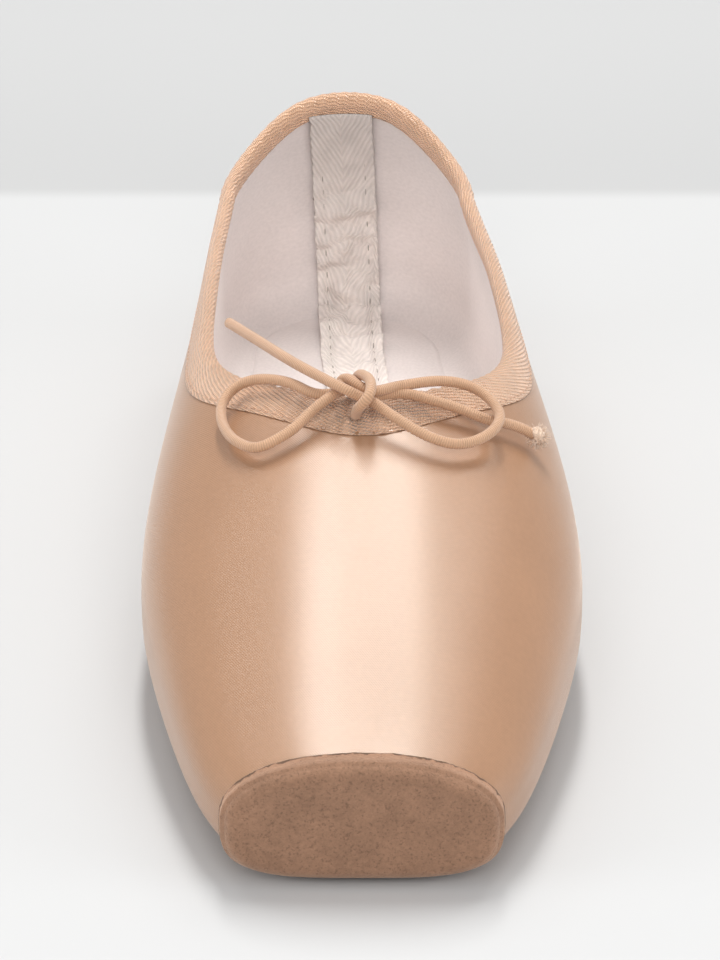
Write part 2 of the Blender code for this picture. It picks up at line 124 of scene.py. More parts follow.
bm = bmesh.new()
bmesh.ops.create_grid(bm, x_segments=1, y_segments=1, size=FLOOR_SIZE / 2)
mesh = bpy.data.meshes.new("floor")
bm.to_mesh(mesh)
bm.free()
floor = bpy.data.objects.new("floor", mesh)
bpy.context.scene.collection.objects.link(floor)
floor_white, tree, shader = shader_of("floor_white", FLOOR_COLOUR, 0.75)
_, parts = own_place(tree)
# Painted shade darkens the floor towards the sweep's line, a painted shadow line lies along it, and
# painted light lifts it a little beyond it.
painted_sweep_shade = eased(tree, parts[1], SWEEP_LINE - 0.13, SWEEP_LINE - 0.005, 1.0, 0.93)
line = eased(tree, parts[1], SWEEP_LINE - 0.003, SWEEP_LINE + 0.004, 1.0, 0.83)
beyond = eased(tree, parts[1], SWEEP_LINE + 0.004, SWEEP_LINE + 0.10, 1.0, 1.04)
colour_by(tree, shader, FLOOR_COLOUR, painted_sweep_shade, line, beyond)
mesh.materials.append(floor_white)

# Studio light: three strips overhead and behind the shoe, which draw the satin's bright bands, a
# broad soft box high behind the camera, a low box at each side for the rims, and a pale room.
LIGHT_AIM = Vector((0.0, 0.0, 0.03))
LIGHTS = (
    # name, position, width, depth, power, colour
    ("top_strip", (-0.01, 1.10, 2.32), 0.27, 1.7, 40.0, (1.0, 0.985, 0.96)),
    ("right_top_strip", (0.72, 1.00, 2.32), 0.46, 1.7, 10.5, (1.0, 0.985, 0.96)),
    ("left_top_strip", (-0.95, 1.00, 2.32), 0.30, 1.7, 5.5, (1.0, 0.985, 0.96)),
    ("front_box", (0.0, -3.4, 2.55), 2.9, 1.9, 58.0, (1.0, 0.98, 0.96)),
    ("left_strip", (-2.4, -0.7, 0.75), 1.4, 1.3, 17.0, (1.0, 1.0, 1.0)),
    ("right_strip", (2.4, -0.7, 0.75), 1.4, 1.3, 17.0, (1.0, 1.0, 1.0)),
)
ROOM_LIGHT = 0.50

for name, position, width, depth, power, colour in LIGHTS:
    lamp = bpy.data.lights.new(name, "AREA")
    lamp.shape = "RECTANGLE"
    lamp.size = width
    lamp.size_y = depth
    lamp.energy = power
    lamp.color = colour
    lamp_object = bpy.data.objects.new(name, lamp)
    lamp_object.location = position
    lamp_object.rotation_euler = (LIGHT_AIM - Vector(position)).to_track_quat("-Z", "Y").to_euler()
    bpy.context.scene.collection.objects.link(lamp_object)

world = bpy.data.worlds.new("room")
world.use_nodes = True
world.node_tree.nodes["Background"].inputs["Color"].default_value = (1.0, 1.0, 1.0, 1.0)
world.node_tree.nodes["Background"].inputs["Strength"].default_value = ROOM_LIGHT
bpy.context.scene.world = world
bpy.context.scene.view_settings.view_transform = "Standard"

# Drawstring: covered elastic, a rubber core wrapped in fine thread. Its ends leave the binding at
# the throat. One is tied in a bow round itself, and the other is short, knotted and frayed. They
# lie on the satin, so the last, the wooden form that gives every piece its shape, comes first.
LENGTH = 0.235
BALL_WIDTH = 0.082
INSTEP_HEIGHT = 0.0512
HEEL_DEPTH = 0.029
GAP = 0.0003
SOLE_THICKNESS = 0.0022
PATCH_THICKNESS = 0.0010
TOE_SPRING = 0.0003
TOE_SPRING_END = 0.17
ARCH_RISE = 0.0050
ARCH_START = 0.40
ARCH_END = 0.80
UPPER_POWER = 2.2
SECTIONS = (
    # shares of the last's run, half the ball width, the instep height twice, the ball width
    # station, half_width, widest_height, top_height, sway
    (0.000, 0.560, 0.250, 0.447, 0.000),
    (0.030, 0.645, 0.260, 0.480, 0.000),
    (0.095, 0.765, 0.285, 0.570, 0.000),
    (0.200, 0.888, 0.330, 0.720, 0.000),
    (0.340, 0.991, 0.375, 0.890, 0.000),
    (0.450, 0.988, 0.400, 1.000, -0.002),
    (0.625, 0.895, 0.430, 1.130, -0.009),
    (0.820, 0.768, 0.420, 1.270, -0.021),
    (1.000, 0.655, 0.390, 1.370, -0.037),
)
PATCH_PROUD = GAP + PATCH_THICKNESS
FRONT = -LENGTH / 2 + PATCH_PROUD
BACK = LENGTH / 2
HEEL_CENTRE = BACK - HEEL_DEPTH
SPAN = HEEL_CENTRE - FRONT
BOTTOM = SOLE_THICKNESS + GAP


def spline(rows, column):
    """Natural cubic through one column of a table, as a function of its first column."""
    x = np.array([row[0] for row in rows])
    y = np.array([row[column] for row in rows])
    step = np.diff(x)
    matrix = np.eye(len(x))
    right = np.zeros(len(x))
    for i in range(1, len(x) - 1):
        matrix[i, i - 1 : i + 2] = step[i - 1], 2 * (step[i - 1] + step[i]), step[i]
        right[i] = 6 * ((y[i + 1] - y[i]) / step[i] - (y[i] - y[i - 1]) / step[i - 1])
    bend, x, y, step = [list(map(float, v)) for v in (np.linalg.solve(matrix, right), x, y, step)]

    def value(at):
        i = min(max(bisect.bisect_left(x, at) - 1, 0), len(step) - 1)
        a, b = x[i + 1] - at, at - x[i]
        curve = (bend[i] * a**3 + bend[i + 1] * b**3) / (6 * step[i])
        left = (y[i] / step[i] - bend[i] * step[i] / 6) * a
        return curve + left + (y[i + 1] / step[i] - bend[i + 1] * step[i] / 6) * b

    return value


width_share = spline(SECTIONS, 1)
widest_share = spline(SECTIONS, 2)
top_share = spline(SECTIONS, 3)
sway_share = spline(SECTIONS, 4)


def floor_rise(y):
    """How far the shoe's underside stands above its flat spots."""
    place = (y - FRONT) / (BACK - FRONT)
    if place < TOE_SPRING_END:
        return TOE_SPRING * (1 - max(place, 0.0) / TOE_SPRING_END) ** 2
    if ARCH_START < place < ARCH_END:
        return ARCH_RISE * math.sin(math.pi * (place - ARCH_START) / (ARCH_END - ARCH_START)) ** 2
    return 0.0


def section(station, y, grow):
    """Half width, heights and sway of the satin's surface, grown by a distance."""
    station = min(max(station, 0.0), 1.0)
    half = width_share(station) * BALL_WIDTH / 2 + grow
    widest = widest_share(station) * INSTEP_HEIGHT
    top = top_share(station) * INSTEP_HEIGHT + grow
    return half, widest, top, BOTTOM + floor_rise(y) - grow, sway_share(station) * BALL_WIDTH


def above_satin(across, station, lift):
    """The point that far across and along the shoe, lifted off the satin by cord diameters."""
    y = FRONT + station * SPAN
    half, widest, top, _, sway = section(station, y, lift * CORD)
    x = across * BALL_WIDTH / 2
    share = min(abs(x - sway) / half, 1.0)
    return Vector((x, y, widest + (top - widest) * (1 - share**UPPER_POWER) ** (1 / UPPER_POWER)))


CORD = 0.0022
CORD_DRAWN = 0.0020
CORD_SIDES = 14
CORD_STEP = CORD / 5
CORD_WRAP_PITCH = 0.00042
CORD_COLOUR = (0.625, 0.375, 0.230)
TIED = (
    # share of half the ball width, station along the last, diameters over the satin
    # across, station, lift
    (-0.029, 0.4105, 0.90),
    (-0.024, 0.4054, 1.70),
    (0.002, 0.3958, 3.00),
    (0.027, 0.3968, 3.60),
    (0.040, 0.4078, 3.70),
    (0.030, 0.4245, 3.40),
    (-0.002, 0.4393, 2.80),
    (-0.024, 0.4487, 1.90),
    (-0.051, 0.4482, 1.30),
    (-0.092, 0.4405, 1.25),
    (-0.146, 0.4363, 1.30),
    (-0.205, 0.4371, 1.35),
    (-0.295, 0.4498, 1.50),
    (-0.414, 0.4666, 1.50),
    (-0.505, 0.4743, 1.45),
    (-0.583, 0.4735, 1.35),
    (-0.628, 0.4627, 1.25),
    (-0.637, 0.4422, 1.20),
    (-0.606, 0.4134, 1.20),
    (-0.541, 0.3902, 1.20),
    (-0.471, 0.3795, 1.20),
    (-0.385, 0.3831, 1.25),
    (-0.294, 0.3950, 1.40),
    (-0.213, 0.4097, 1.80),
    (-0.150, 0.4158, 2.30),
    (-0.110, 0.4258, 2.20),
    (-0.092, 0.4363, 2.00),
    (-0.092, 0.4425, 2.10),
    (-0.069, 0.4400, 2.40),
    (-0.033, 0.4309, 2.60),
    (0.007, 0.4248, 2.50),
    (0.043, 0.4229, 2.40),
    (0.079, 0.4266, 2.20),
    (0.147, 0.4371, 1.90),
    (0.211, 0.4424, 1.90),
    (0.368, 0.4548, 1.90),
    (0.490, 0.4555, 2.00),
    (0.580, 0.4424, 2.20),
    (0.620, 0.4218, 2.30),
    (0.594, 0.4026, 2.10),
    (0.521, 0.3868, 1.70),
    (0.423, 0.3763, 1.50),
    (0.304, 0.3776, 1.60),
    (0.184, 0.3889, 1.90),
    (0.094, 0.4013, 2.20),
    (0.052, 0.4073, 2.35),
    (-0.002, 0.4120, 2.50),
    (-0.056, 0.4130, 3.00),
    (-0.101, 0.4171, 3.20),
    (-0.168, 0.4302, 3.10),
    (-0.282, 0.4559, 2.90),
    (-0.443, 0.5084, 2.30),
    (-0.613, 0.5780, 1.80),
)
SHORT_END = (
    (-0.020, 0.4215, 1.00),
    (0.016, 0.4260, 1.25),
    (0.061, 0.4317, 1.30),
    (0.125, 0.4353, 1.35),
    (0.210, 0.4355, 1.45),
    (0.307, 0.4323, 1.40),
    (0.427, 0.4301, 1.30),
    (0.572, 0.4296, 1.15),
    (0.645, 0.4350, 1.15),
    (0.714, 0.4395, 1.20),
    (0.780, 0.4410, 1.30),
)


def bent_grid(rows, side=1, wrap=False, first=0, run=None, lead=None):
    """A grid bent through rows of points, with its own map in metres along and across.

    The way along starts at the row called first, or is given for each row by run. The way
    across starts at each row's first point, or at the row's number in lead.
    """
    high, wide = len(rows), len(rows[0])
    bm = bmesh.new()
    made = bmesh.ops.create_grid(bm, x_segments=wide - 1, y_segments=high - 1, size=1.0)
    order = sorted(made["verts"], key=lambda v: (round(v.co.y, 6), round(v.co.x, 6)))
    points = np.array([[tuple(p) for p in row] for row in rows])
    along = np.zeros((high, wide))
    across = np.zeros((high, wide))
    along[1:] = np.cumsum(np.linalg.norm(np.diff(points, axis=0), axis=2), axis=0)
    across[:, 1:] = np.cumsum(np.linalg.norm(np.diff(points, axis=1), axis=2), axis=1)
    along = along - along[first] if run is None else np.array(run)[:, None] + along * 0.0
    if lead is not None:
        across += np.array(lead)[:, None]
    place = {}
    for k, vert in enumerate(order):
        place[vert] = divmod(k, wide)
        vert.co = points[divmod(k, wide)]
    sheet = bm.loops.layers.uv.new("UVMap")
    for face in bm.faces:
        face.smooth = True
        for loop in face.loops:
            j, i = place[loop.vert]
            loop[sheet].uv = (along[j, i], side * across[j, i])
    if wrap:
        bmesh.ops.remove_doubles(bm, verts=bm.verts, dist=1e-6)
    return bm


def finish_piece(name, bm, materials, node_names=()):
    """The bmesh, its faces turned outward, made a piece that stands for the named nodes."""
    bmesh.ops.recalc_face_normals(bm, faces=bm.faces)
    mesh = bpy.data.meshes.new(name)
    bm.to_mesh(mesh)
    bm.free()
    for made in materials:
        mesh.materials.append(made)
    piece = bpy.data.objects.new(name, mesh)
    bpy.context.scene.collection.objects.link(piece)
    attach(piece, "root")
    if node_names:
        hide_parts(*node_names)
    return piece


def run_lengths(line):
    """How far along a line each of its points lies."""
    travel = [0.0]
    for near, far in zip(line, line[1:]):
        travel.append(travel[-1] + (far - near).length)
    return travel


def cord_line(route, step):
    """Points an even step apart on the smooth curve through a route's points."""
    stops = [above_satin(*row) for row in route]
    travel = run_lengths(stops)
    axes = [spline([(t, p[axis]) for t, p in zip(travel, stops)], 1) for axis in range(3)]
    count = max(round(travel[-1] / step), 2)
    places = [travel[-1] * i / count for i in range(count + 1)]
    return [Vector([axis(place) for axis in axes]) for place in places]


def tube(line, radius, sides):
    """Rings round a line, turned as little as possible from one to the next, for bent_grid."""
    side = Vector((0.0, 0.0, 1.0))
    rows = []
    for i, point in enumerate(line):
        ahead = (line[min(i + 1, len(line) - 1)] - line[max(i - 1, 0)]).normalized()
        side = (side - ahead * side.dot(ahead)).normalized()
        other = ahead.cross(side)
        turns = [2 * math.pi * k / sides for k in range(sides + 1)]
        rows.append([point + (side * math.cos(t) + other * math.sin(t)) * radius for t in turns])
    return rows


def spread(tree, value, low, high, start, end):
    """The value's stretch from low to high laid evenly on start to end."""
    return add(tree, "ShaderNodeMapRange", {0: value, 1: low, 2: high, 3: start, 4: end}).outputs[0]


def cloudy(tree, vector, scale, detail=2.0, roughness=0.5):
    """Soft noise from 0 to 1 at a scale in cells a metre."""
    links = {"Vector": vector, "Scale": scale, "Detail": detail, "Roughness": roughness}
    return add(tree, "ShaderNodeTexNoise", links).outputs[0]


def mottled(tree, vector, low, high, *kind):
    """Soft noise of a kind, laid on low to high."""
    return spread(tree, cloudy(tree, vector, *kind), 0.3, 0.7, low, high)


def waves(tree, along, pitch, across=None, cross_pitch=1.0):
    """A sine wave from -1 to 1, with its pitch along and, where one is given, across."""
    turns = number(tree, "MULTIPLY", along, 2 * math.pi / pitch)
    if across is not None:
        turns = number(tree, "MULTIPLY_ADD", across, 2 * math.pi / cross_pitch, turns)
    return number(tree, "SINE", turns)


def relief(tree, shader, height, distance, strength=1.0):
    """Bump of a given depth from a height between 0 and 1."""
    links = {"Height": height, "Strength": strength, "Distance": distance}
    tree.links.new(add(tree, "ShaderNodeBump", links).outputs[0], shader.inputs["Normal"])


def own_map(tree):
    """A piece's own map in metres: the vector, the way along and the way across."""
    sheet = add(tree, "ShaderNodeUVMap", uv_map="UVMap").outputs[0]
    parts = add(tree, "ShaderNodeSeparateXYZ", {0: sheet}).outputs
    return sheet, parts[0], parts[1]


sheen = {"Sheen Weight": 0.35, "Sheen Roughness": 0.4}
elastic, tree, shader = shader_of("covered_elastic", CORD_COLOUR, 0.6, sheen)
sheet, along, across = own_map(tree)
ridge = waves(tree, along, CORD_WRAP_PITCH, across, math.pi * CORD_DRAWN)
colour_by(
    tree, shader, CORD_COLOUR, spread(tree, ridge, -1.0, 1.0, 0.84, 1.04),
    mottled(tree, sheet, 0.96, 1.03, 260.0, 3.0),
)
relief(tree, shader, ridge, 0.00006, 0.8)


def drawn_cord(name, route, nodes):
    """One free stretch of the drawstring: its piece and its middle line."""
    line = cord_line(route, CORD_STEP)
    rows = tube(line, CORD_DRAWN / 2, CORD_SIDES)
    bm = bent_grid(rows, wrap=True, run=[CORD_STEP * i for i in range(len(rows))])
    bmesh.ops.holes_fill(bm, edges=[e for e in bm.edges if e.is_boundary], sides=0)
    return finish_piece(name, bm, [elastic], nodes), line


bow, bow_line = drawn_cord("drawstring_bow", TIED, ("knot", "loop_left", "loop_right", "end_left"))
short_end, short_line = drawn_cord("drawstring_end", SHORT_END, ("end_right",))

# The short end's knot: the cord turned once through itself, with the pale cotton of its core
# fluffed out past the knot.
KNOT_SIZE = (0.0030, 0.0030, 0.0034)
KNOT_AHEAD = 0.0007
KNOT_LUMPS = 0.0007
KNOT_FINE_LUMPS = 0.0003
TUFT_THREADS = 260
TUFT_LONGEST = 0.0034
TUFT_ROOT = 0.0011
THREAD_ROOT = 0.00009
THREAD_TIP = 0.00004
FLUFF_COLOUR = (0.80, 0.60, 0.46)


def spun(name, colour, roughness, cells, low, high, cell_relief, depth, strength):
    """A spun thread's material: mottled from low to high, and rough with fibres."""
    made, tree, shader = shader_of(name, colour, roughness)
    place, _ = own_place(tree)
    colour_by(tree, shader, colour, mottled(tree, place, low, high, cells))
    relief(tree, shader, cloudy(tree, place, cell_relief), depth, strength)
    return made, shader


fluff, shader = spun("frayed_cotton", FLUFF_COLOUR, 0.95, 2500.0, 0.8, 1.15, 4000.0, 0.0002, 0.8)
shader.inputs["Sheen Weight"].default_value = 0.6
onward = (short_line[-1] - short_line[-5]).normalized()
centre = short_line[-1] + onward * KNOT_AHEAD
rng = np.random.default_rng(4)
bm = bmesh.new()
shape = Matrix.Translation(centre) @ Matrix.Diagonal((*KNOT_SIZE, 1.0))
bmesh.ops.create_icosphere(bm, subdivisions=4, radius=0.5, matrix=shape)
for vert in bm.verts:
    out = (vert.co - centre).normalized()
    lumps = noise.noise(vert.co * 900.0) * KNOT_LUMPS
    lumps += noise.noise(vert.co * 2600.0) * KNOT_FINE_LUMPS
    vert.co += out * lumps
for i in range(TUFT_THREADS):
    spin = rng.normal(0.0, 1.0, 3)
    way = (onward * 0.5 + Vector(spin) * 0.75).normalized()
    long = TUFT_LONGEST * rng.uniform(0.2, 0.5)
    middle = centre + way * (TUFT_ROOT + long / 2)
    turned = Matrix.Translation(middle) @ way.to_track_quat("Z", "Y").to_matrix().to_4x4()
    bmesh.ops.create_cone(
        bm, cap_ends=True, segments=3, radius1=THREAD_ROOT, radius2=THREAD_TIP, depth=long,
        matrix=turned,
    )
for face in bm.faces:
    face.smooth = True
tuft = finish_piece("frayed_knot", bm, [fluff], ("end_knot",))

# Satin upper: furniture satin lasted over the pasted box and the drill lining, with the twill's
# fine diagonal. The grid runs from the platform back to the throat, then down from the topline
# round the heel, one half for each side. Under the toe the satin is pleated in to the sole.
TOPLINE = (
    # place, travel, turn
    (0.00, 0.371, 0.000),
    (0.05, 0.380, 0.090),
    (0.12, 0.409, 0.248),
    (0.20, 0.441, 0.390),
    (0.33, 0.519, 0.570),
    (0.48, 0.649, 0.667),
    (0.60, 0.765, 0.737),
    (0.72, 0.876, 0.757),
    (0.79, 0.918, 0.707),
    (0.85, 0.942, 0.640),
    (0.90, 0.961, 0.588),
    (0.95, 0.981, 0.565),
    (1.00, 1.000, 0.560),
)
SOLE_OUTLINE = (
    # station, half_width
    (0.00, 0.215),
    (0.25, 0.272),
    (0.42, 0.235),
    (0.62, 0.150),
    (0.80, 0.172),
    (1.00, 0.190),
)
SOLE_FRONT = 0.026
SOLE_BACK = 0.012
SOLE_END_POWER = 3.6
LASTING_MARGIN = 0.0065
LOWER_POWER = 3.6
BOX_WALL = 0.0028
QUARTER_WALL = 0.0014
PASTE_END = 0.18
PASTE_FADE = 0.20
TOE_ROUND = 0.0012
SATIN_COLUMNS = 60
FACE_ROWS = 6
BOX_ROWS = 46
TOPLINE_ROWS = 96
LEAD_STEPS = 12
FACE_RUN = 0.012
PLEATS = 13
PLEAT_SPREAD = 1.15
PLEAT_DEPTH = 0.0009
FAN_CENTRE = 0.040
FAN_HALF = 0.030
PUCKER_DEPTH = 0.00008
PUCKER_PITCH = 0.0058
PUCKER_REACH = 0.0075
PUCKER_HALF = 0.016
around = [(-p, t, -u) for p, t, u in TOPLINE[:0:-1]] + list(TOPLINE)
around += [(2 - p, 2 - t, u) for p, t, u in TOPLINE[-2::-1]]
travel_share = spline(around, 1)
turn_share = spline(around, 2)
sole_share = spline(SOLE_OUTLINE, 1)


def smooth(share):
    """0 to 1 with level ends."""
    share = min(max(share, 0.0), 1.0)
    return share * share * (3 - 2 * share)


def wall_at(station):
    """Thickness of the upper, whose paste thins out before the throat."""
    return BOX_WALL + (QUARTER_WALL - BOX_WALL) * smooth((station - PASTE_END) / PASTE_FADE)


def ring_point(turn, station, swing, grow, inset=0.0):
    """A point of a section: turn goes round it from the top, swing round the heel."""
    y = FRONT + station * SPAN
    half, widest, top, bottom, sway = section(station, y, grow - inset)
    above = math.cos(turn) > 0
    power = UPPER_POWER if above else LOWER_POWER
    across = abs(math.sin(turn)) ** (2 / power)
    rise = abs(math.cos(turn)) ** (2 / power)
    side = 1 if math.sin(turn) >= 0 else -1
    height = top - widest if above else bottom - widest
    return Vector(
        (
            sway + side * half * across * math.cos(swing),
            y + (HEEL_DEPTH + grow) * across * math.sin(swing),
            widest + height * rise,
        )
    )


def sole_half(y, margin):
    """Half width of the sole's outline, less a margin, or nothing past its ends."""
    start, end = FRONT + SOLE_FRONT + margin, BACK - SOLE_BACK - margin
    reach = (2 * y - start - end) / (end - start)
    if abs(reach) >= 1:
        return 0.0
    blunt = (1 - abs(reach) ** SOLE_END_POWER) ** (1 / SOLE_END_POWER)
    return (sole_share((1 + reach) / 2) * BALL_WIDTH - margin) * blunt


def lasting_turn(station, swing, grow):
    """How far round a section the upper runs before it ends under the sole."""
    low, high = math.pi / 2, math.pi
    for _ in range(24):
        turn = (low + high) / 2
        point = ring_point(turn, station, swing, grow)
        sway = section(station, point.y, grow)[4]
        if abs(point.x - sway) < sole_half(point.y, LASTING_MARGIN):
            high = turn
        else:
            low = turn
    return high


def satin_folds(turn, station):
    """Gathers under the toe, where the satin is drawn in to the sole, and by the binding."""
    under = smooth((turn / math.pi - 0.70) / 0.16)
    reach = smooth((station - 0.02) / 0.06) * (1 - smooth((station - 0.26) / 0.12))
    fan = math.atan2(math.sin(turn) * FAN_HALF, FAN_CENTRE - station * SPAN)
    fold = abs(math.sin(PLEATS * fan * PLEAT_SPREAD)) ** 0.6
    ahead = (travel_share(0.0) * (SPAN + HEEL_DEPTH) - station * SPAN) / PUCKER_REACH
    across = math.sin(turn) * BALL_WIDTH / 2
    near_throat = math.exp(-(ahead**2) - (across / PUCKER_HALF) ** 2)
    pucker = math.cos(2 * math.pi * across / PUCKER_PITCH) * near_throat
    return -PLEAT_DEPTH * under * reach * (1 - fold) + PUCKER_DEPTH * pucker


def topline_at(share):
    """Station, swing and turn of the topline at a share of the way from throat to heel."""
    travel = travel_share(share) * (SPAN + HEEL_DEPTH)
    swing = math.pi / 2 * max(travel - SPAN, 0.0) / HEEL_DEPTH
    return min(travel / SPAN, 1.0), swing, turn_share(share) * math.pi / 2


def upper_rows(grow_at, side, folds):
    """Rows of one side of the upper, from the top down to its lasted edge, and their map."""
    radius = max(TOE_ROUND + grow_at(0.0), 1e-6)
    face = FRONT - grow_at(0.0)
    throat = travel_share(0.0) * (SPAN + HEEL_DEPTH) / SPAN
    first = (face + radius - FRONT) / SPAN
    plan = []
    for i in range(FACE_ROWS if radius > 1e-5 else 0):
        lean = math.pi / 2 * i / FACE_ROWS
        station = (face + radius * (1 - math.cos(lean)) - FRONT) / SPAN
        plan.append((station, 0.0, 0.0, radius * (1 - math.sin(lean))))
    for i in range(BOX_ROWS):
        plan.append((first + (throat - first) * i / BOX_ROWS, 0.0, 0.0, 0.0))
    for i in range(TOPLINE_ROWS + 1):
        plan.append((*topline_at(i / TOPLINE_ROWS), 0.0))
    rows = []
    for station, swing, top_turn, inset in plan:
        held = max(station, 0.0)
        grow = grow_at(held)
        last_turn = lasting_turn(held, swing, grow)
        row = []
        for k in range(SATIN_COLUMNS + 1):
            turn = top_turn + (last_turn - top_turn) * k / SATIN_COLUMNS
            extra = folds(turn, station) if folds and station > first else 0.0
            point = ring_point(side * turn, held, swing, grow + extra, inset)
            if station < first:
                point.y = FRONT + station * SPAN
            row.append(point)
        rows.append(row)
    middle = (rows[0][0] + rows[0][-1]) / 2
    shares = [i / FACE_ROWS for i in range(FACE_ROWS)]
    inward = [[middle.lerp(point, share) for point in rows[0]] for share in shares]
    run = [FACE_RUN * (share - 1) for share in shares]
    lead = [0.0] * FACE_ROWS
    for station, swing, top_turn, _ in plan:
        run.append(station * SPAN + swing / (math.pi / 2) * HEEL_DEPTH)
        turns = [top_turn * i / LEAD_STEPS for i in range(LEAD_STEPS + 1)]
        lead.append(run_lengths([ring_point(turn, max(station, 0.0), swing, 0.0) for turn in turns])[-1])
    return inward + rows, run, lead


def join_meshes(bms):
    """Several bmeshes as one, with each one's faces in the material of its number."""
    joined = bmesh.new()
    for bm, number_in in bms:
        for face in bm.faces:
            face.material_index = number_in
        mesh = bpy.data.meshes.new("joining")
        bm.to_mesh(mesh)
        bm.free()
        joined.from_mesh(mesh)
        bpy.data.meshes.remove(mesh)
    return joined


SIDE_SEAM = 0.70
SEAM_LEAN = 0.22
SEAM_WIDTH = 0.00045


def satin_seams(tree):
    """0 in the back seam and the two side seams, 1 away from them."""
    _, parts = own_place(tree)
    aside = number(tree, "SUBTRACT", parts[0], sway_share(1.0) * BALL_WIDTH)
    from_back = number(tree, "ABSOLUTE", aside)
    ahead_of_heel = number(tree, "LESS_THAN", parts[1], HEEL_CENTRE)
    back_seam = number(tree, "ADD", from_back, ahead_of_heel)
    leaning = number(tree, "MULTIPLY_ADD", parts[2], SEAM_LEAN, parts[1])
    from_side = number(tree, "ABSOLUTE", number(tree, "SUBTRACT", leaning, FRONT + SIDE_SEAM * SPAN))
    nearest = number(tree, "MINIMUM", back_seam, from_side)
    return eased(tree, nearest, 0.0, SEAM_WIDTH, 0.0, 1.0)


SATIN_COLOUR = (0.385, 0.209, 0.118)
TWILL_PITCH = 0.00036
TWILL_SLOPE = 1.5
TWILL_STRETCH = 1.8
PICK_PITCH = 0.00052
PICK_RELIEF = 0.45
SATIN_GLOSS = {
    "Specular IOR Level": 1.0, "Specular Tint": (1.0, 0.98, 0.94, 1.0), "Anisotropic": 0.5,
    "Sheen Weight": 0.35, "Sheen Roughness": 0.3, "Sheen Tint": (1.0, 0.88, 0.78, 1.0),
}
satin, tree, shader = shader_of("satin", SATIN_COLOUR, 0.31, SATIN_GLOSS)
sheet, along, across = own_map(tree)
slope = number(tree, "MULTIPLY_ADD", across, TWILL_SLOPE, along)
rib = waves(tree, slope, TWILL_PITCH * TWILL_STRETCH)
rib = number(tree, "MULTIPLY_ADD", waves(tree, along, PICK_PITCH), PICK_RELIEF, rib)
slub = cloudy(tree, sheet, 900.0)
seams = satin_seams(tree)
colour_by(
    tree, shader, SATIN_COLOUR, spread(tree, rib, -1.4, 1.4, 0.94, 1.05),
    mottled(tree, sheet, 0.97, 1.03, 45.0, 4.0, 0.6), spread(tree, slub, 0.3, 0.7, 0.97, 1.03),
    spread(tree, seams, 0.0, 1.0, 0.72, 1.0),
)
woven = number(tree, "MULTIPLY", number(tree, "MULTIPLY_ADD", slub, 0.4, rib), 0.20)
relief(tree, shader, number(tree, "MULTIPLY_ADD", seams, 6.0, woven), 0.00004)
tangent = add(tree, "ShaderNodeTangent", direction_type="UV_MAP", uv_map="UVMap")
tree.links.new(tangent.outputs[0], shader.inputs["Tangent"])

# The upper's lining is cotton drill, a fine matt twill in a cool off-white with a little pink,
# pasted in with the box. Its colour carries painted shade up towards the collar and painted light lower
# down, and it is darker at the insole.
LINING_COLOUR = (0.87, 0.80, 0.78)
drill, tree, shader = shader_of("drill_lining", LINING_COLOUR, 0.9, {"Sheen Weight": 0.2})
sheet, _, _ = own_map(tree)
grain = cloudy(tree, sheet, 1500.0)
_, parts = own_place(tree)
# Painted shade darkens the lining towards the collar, and painted light lifts it a little lower down.
painted_shade_by_height = eased(tree, parts[2], 0.018, 0.046, 1.05, 0.78)
# The lining is darker low down, at the height of the insole.
darker_at_insole = eased(tree, parts[2], 0.006, 0.012, 0.87, 1.0)
colour_by(
    tree, shader, LINING_COLOUR, mottled(tree, sheet, 0.95, 1.04, 60.0, 5.0),
    spread(tree, grain, 0.3, 0.7, 0.96, 1.04), painted_shade_by_height, darker_at_insole,
)
relief(tree, shader, grain, 0.00006, 0.4)

SKINS = (
    # material_number, grow_at, folds
    (0, lambda station: 0.0, satin_folds),
    (1, lambda station: -wall_at(station), None),
)
skins = []
for material_number, grow_at, folds in SKINS:
    for side in (1, -1):
        rows, run, lead = upper_rows(grow_at, side, folds)
        skins.append((bent_grid(rows, side, run=run, lead=lead), material_number))
bm = join_meshes(skins)
bmesh.ops.remove_doubles(bm, verts=bm.verts, dist=2e-6)
rim = [e for e in bm.edges if e.is_boundary]
collar_rim = [e for e in rim if min(v.co.z for v in e.verts) > INSTEP_HEIGHT / 2]
sole_rim = [e for e in rim if max(v.co.z for v in e.verts) < INSTEP_HEIGHT / 2]
for loops in (collar_rim, sole_rim):
    bmesh.ops.bridge_loops(bm, edges=loops)
finish_piece("upper_satin", bm, [satin, drill], ("upper",))

# Suede patch on the platform: split leather with its nap up, cut by hand and glued over the
# satin's edge. The rim is a little frayed and paler, with a broken line of painted shadow along the gap
# under its cut edge.
SUEDE_SIDE_WRAP = 0.0014
SUEDE_TOP_WRAP = 0.0030
SUEDE_BOTTOM_WRAP = 0.0048
SUEDE_FACE = 0.0013
SUEDE_EDGE = 0.0007
SUEDE_GLUE = 0.00005
SUEDE_UNDERCUT = 0.00035
SUEDE_FACE_IN = 0.0002
SUEDE_NAP = 0.00012
RAGGED = 0.00018
RAGGED_FINE = 0.00012
SUEDE_TURNS = 240
RIM_ROWS = 4
BACK_STEPS = 3
FACE_STEPS = 8
SUEDE_COLOUR = (0.297, 0.167, 0.105)
SUEDE_SHEEN = {
    "Specular IOR Level": 0.2, "Sheen Weight": 0.5, "Sheen Roughness": 0.5,
    "Sheen Tint": (1.0, 0.75, 0.6, 1.0),
}
suede, tree, shader = shader_of("suede", SUEDE_COLOUR, 0.95, SUEDE_SHEEN)
_, from_rim, _ = own_map(tree)
place, _ = own_place(tree)
nap = cloudy(tree, place, 1400.0, 4.0, 0.7)
speck = eased(tree, cloudy(tree, place, 2200.0, 2.0), 0.30, 0.46, 0.72, 1.0)
fray = cloudy(tree, place, 700.0, 3.0)
wander = number(tree, "MULTIPLY_ADD", fray, 0.0012, from_rim)
